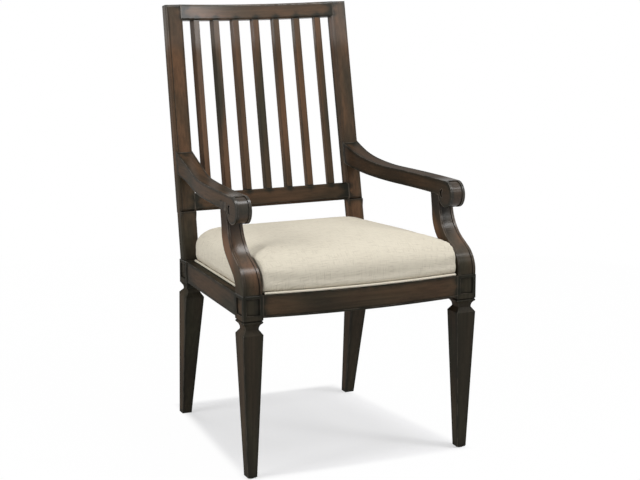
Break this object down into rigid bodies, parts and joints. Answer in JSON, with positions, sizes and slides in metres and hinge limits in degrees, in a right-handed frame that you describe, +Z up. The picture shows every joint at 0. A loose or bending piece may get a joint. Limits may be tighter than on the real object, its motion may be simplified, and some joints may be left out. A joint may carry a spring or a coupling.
{
  "type": "upholstered slat-back armchair",
  "caption": "Dining armchair with a raked slatted back, scroll arms on curved supports, square tapered legs and an upholstered seat.",
  "frame": {"origin": "on the floor, at the centre of the bounding box", "axes": "+Z up, the seat's front toward -Y, +X to the right as seen from the front"},
  "size_m": [0.585, 0.6766, 1.03],
  "materials": {
    "espresso_wood": "satin lacquer over a dark, lightly rubbed stain",
    "seat_fabric": "slubby linen weave",
    "welt_fabric": "linen piping cut on the bias",
    "plywood": "raw plywood",
    "block_wood": "raw sawn hardwood",
    "dowel_beech": "raw fluted beech",
    "dust_cloth": "black non-woven cloth",
    "screw_steel": "zinc plated",
    "glide_nylon": "moulded nylon"
  },
  "bodies": {
    "root": {"arm_dowels": "dowel_beech", "arm_left": "espresso_wood", "arm_right": "espresso_wood", "arm_support_left": "espresso_wood", "arm_support_right": "espresso_wood", "back_rail_dowels": "dowel_beech", "back_slat_1": "espresso_wood", "back_slat_2": "espresso_wood", "back_slat_3": "espresso_wood", "back_slat_4": "espresso_wood", "back_slat_5": "espresso_wood", "back_slat_6": "espresso_wood", "back_slat_7": "espresso_wood", "corner_block_front_left": "block_wood", "corner_block_front_right": "block_wood", "corner_block_rear_left": "block_wood", "corner_block_rear_right": "block_wood", "corner_block_screws": "screw_steel", "dust_cover": "dust_cloth", "front_leg_left": "espresso_wood", "front_leg_right": "espresso_wood", "front_seat_rail": "espresso_wood", "leg_glides": "glide_nylon", "lower_back_rail": "espresso_wood", "rear_post_left": "espresso_wood", "rear_post_right": "espresso_wood", "rear_seat_rail": "espresso_wood", "seat_board": "plywood", "seat_cushion": "seat_fabric", "seat_rail_dowels": "dowel_beech", "seat_screws": "screw_steel", "seat_welt": "welt_fabric", "side_seat_rail_left": "espresso_wood", "side_seat_rail_right": "espresso_wood", "top_rail": "espresso_wood"}
  },
  "joints": []
}
